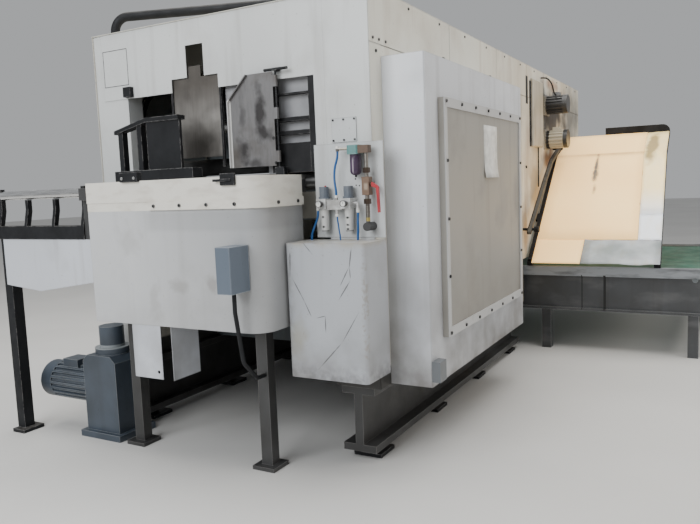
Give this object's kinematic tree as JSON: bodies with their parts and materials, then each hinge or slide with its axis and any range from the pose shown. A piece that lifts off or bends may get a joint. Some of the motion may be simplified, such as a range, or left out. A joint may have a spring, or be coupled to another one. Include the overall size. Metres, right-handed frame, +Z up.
{
  "type": "flatbed die cutter",
  "caption": "Flatbed die cutter for corrugated board: lifting platen under a die chase, gripper chains in a panelled body, feeder table, air gear and cross conveyor.",
  "frame": {"origin": "on the floor under the middle of the whole machine's bounding box", "axes": "+X from the feeder to the delivery, +Y from the near (drive cover) side to the far side, +Z up"},
  "size_m": [5.97, 3.9, 2.648],
  "materials": {
    "aluminium": "satin",
    "apron_white": "satin, smudged",
    "band_beige": "matt, stained",
    "belt_green": "matt",
    "belt_rubber": "matt",
    "black_plastic": "satin",
    "blue_grey": "satin, worn",
    "blue_tube": "gloss",
    "bowl_plastic": "dark, translucent",
    "brass": "nickelled, worn",
    "bright_steel": "polished",
    "cast_body": "painted, oily",
    "dark_steel": "black, worn edges",
    "frame_cream": "matt",
    "guard_board": "matt, dusty",
    "machine_grey": "matt, dusty",
    "motor_blue": "satin, oily",
    "plywood": "varnished plywood",
    "red_plastic": "satin",
    "steel": "ground and worn",
    "white_board": "satin"
  },
  "bodies": {
    "machine": {"base_rails": "machine_grey", "leveling_feet": "dark_steel", "press_frames": "frame_cream", "bed": "cast_body", "lift_cylinders": "cast_body", "guide_rails": "steel", "upper_platen": "cast_body", "cross_beams": "frame_cream", "gripper_chains": "dark_steel", "gripper_bars": "aluminium", "shaft_bearings": "cast_body", "motors": "motor_blue", "drive_belt": "belt_rubber", "delivery_frames": "frame_cream", "pillars": "machine_grey", "fascia": "machine_grey", "side_panels": "band_beige", "top_panels": "band_beige", "conduits": "dark_steel", "side_cover": "machine_grey", "access_panel": "machine_grey", "cover_bolts": "dark_steel", "frl_plate": "white_board", "air_filter": "aluminium", "filter_bowl": "bowl_plastic", "supply_pipe": "brass", "regulators": "black_plastic", "gauges": "black_plastic", "air_tubes": "blue_tube", "cabinet": "white_board", "inner_front_frame": "dark_steel", "flap_hinge": "dark_steel", "apron": "apron_white", "feed_table": "steel", "feeder_frame": "apron_white", "junction_boxes": "blue_grey", "feeder_panels": "machine_grey", "sheet_supports": "dark_steel", "delivery_guard": "guard_board", "guard_frame": "dark_steel", "conveyor_frame": "blue_grey", "conveyor_belt": "belt_green"},
    "platen": {"moving_platen": "cast_body", "rams": "bright_steel"},
    "cutting_plate": {"cutting_plate": "steel"},
    "chase": {"chase": "steel", "die_board": "plywood"},
    "front_shaft": {"front_chain_shaft": "steel"},
    "rear_shaft": {"rear_chain_shaft": "steel"},
    "motor_rotor": {"motor_pulley": "steel"},
    "upper_roll": {"upper_feed_roll": "belt_rubber"},
    "lower_roll": {"lower_feed_roll": "steel"},
    "gate": {"front_gate": "bright_steel"},
    "flap": {"guard_flap": "steel"},
    "lever": {"valve_lever": "red_plastic"},
    "left_knob": {"left_knob": "black_plastic"},
    "right_knob": {"right_knob": "black_plastic"},
    "board_roller": {"feeder_roller": "bright_steel"},
    "near_drum": {"near_drum": "steel"},
    "far_drum": {"far_drum": "steel"}
  },
  "joints": [
    {"name": "platen_lift", "type": "slide", "parent": "machine", "child": "platen", "axis": [0, 0, 1], "range_m": [0, 0.07]},
    {"name": "cutting_plate_slide", "type": "slide", "parent": "platen", "child": "cutting_plate", "axis": [0, 1, 0], "range_m": [0, 1]},
    {"name": "chase_slide", "type": "slide", "parent": "machine", "child": "chase", "axis": [0, 1, 0], "range_m": [0, 1]},
    {"name": "front_chain_shaft_spin", "type": "hinge", "parent": "machine", "child": "front_shaft", "pos_m": [-1.905, 0.485, 1.91036], "axis": [0, 1, 0], "continuous": true},
    {"name": "rear_chain_shaft_spin", "type": "hinge", "parent": "machine", "child": "rear_shaft", "pos_m": [2.595, 0.485, 1.91036], "axis": [0, 1, 0], "continuous": true},
    {"name": "motor_spin", "type": "hinge", "parent": "machine", "child": "motor_rotor", "pos_m": [-1.905, -0.5, 0.7], "axis": [0, 1, 0], "continuous": true},
    {"name": "lower_feed_roll_spin", "type": "hinge", "parent": "machine", "child": "lower_roll", "pos_m": [-2.195, 0.485, 1.537], "axis": [0, 1, 0], "continuous": true},
    {"name": "upper_feed_roll_spin", "type": "hinge", "parent": "machine", "child": "upper_roll", "pos_m": [-2.195, 0.485, 1.643], "axis": [0, 1, 0], "continuous": true},
    {"name": "front_gate_slide", "type": "slide", "parent": "machine", "child": "gate", "axis": [0, 0, 1], "range_m": [0, 0.11]},
    {"name": "guard_flap_swing", "type": "hinge", "parent": "machine", "child": "flap", "pos_m": [-2.409, 0.06, 1.625], "axis": [0, 0, 1], "range_deg": [0, 100]},
    {"name": "air_valve_turn", "type": "hinge", "parent": "machine", "child": "lever", "pos_m": [-2.445, -0.491, 1.504], "axis": [0, 1, 0], "range_deg": [0, 90]},
    {"name": "left_regulator_turn", "type": "hinge", "parent": "machine", "child": "left_knob", "pos_m": [-2.4305, -0.228, 1.437], "axis": [0, 0, 1], "range_deg": [0, 270]},
    {"name": "right_regulator_turn", "type": "hinge", "parent": "machine", "child": "right_knob", "pos_m": [-2.4305, -0.374, 1.437], "axis": [0, 0, 1], "range_deg": [0, 270]},
    {"name": "board_roller_spin", "type": "hinge", "parent": "machine", "child": "board_roller", "pos_m": [-2.78, 1.1, 1.52], "axis": [0, 1, 0], "continuous": true},
    {"name": "near_drum_spin", "type": "hinge", "parent": "machine", "child": "near_drum", "pos_m": [0.545, -1.86, 0.64], "axis": [1, 0, 0], "continuous": true},
    {"name": "far_drum_spin", "type": "hinge", "parent": "machine", "child": "far_drum", "pos_m": [0.545, 1.36, 0.64], "axis": [1, 0, 0], "continuous": true}
  ],
  "couplings": [
    {"joint": "rear_chain_shaft_spin", "follows": "front_chain_shaft_spin", "ratio": 1},
    {"joint": "motor_spin", "follows": "front_chain_shaft_spin", "ratio": 2.75},
    {"joint": "upper_feed_roll_spin", "follows": "lower_feed_roll_spin", "ratio": -1},
    {"joint": "far_drum_spin", "follows": "near_drum_spin", "ratio": 1}
  ]
}
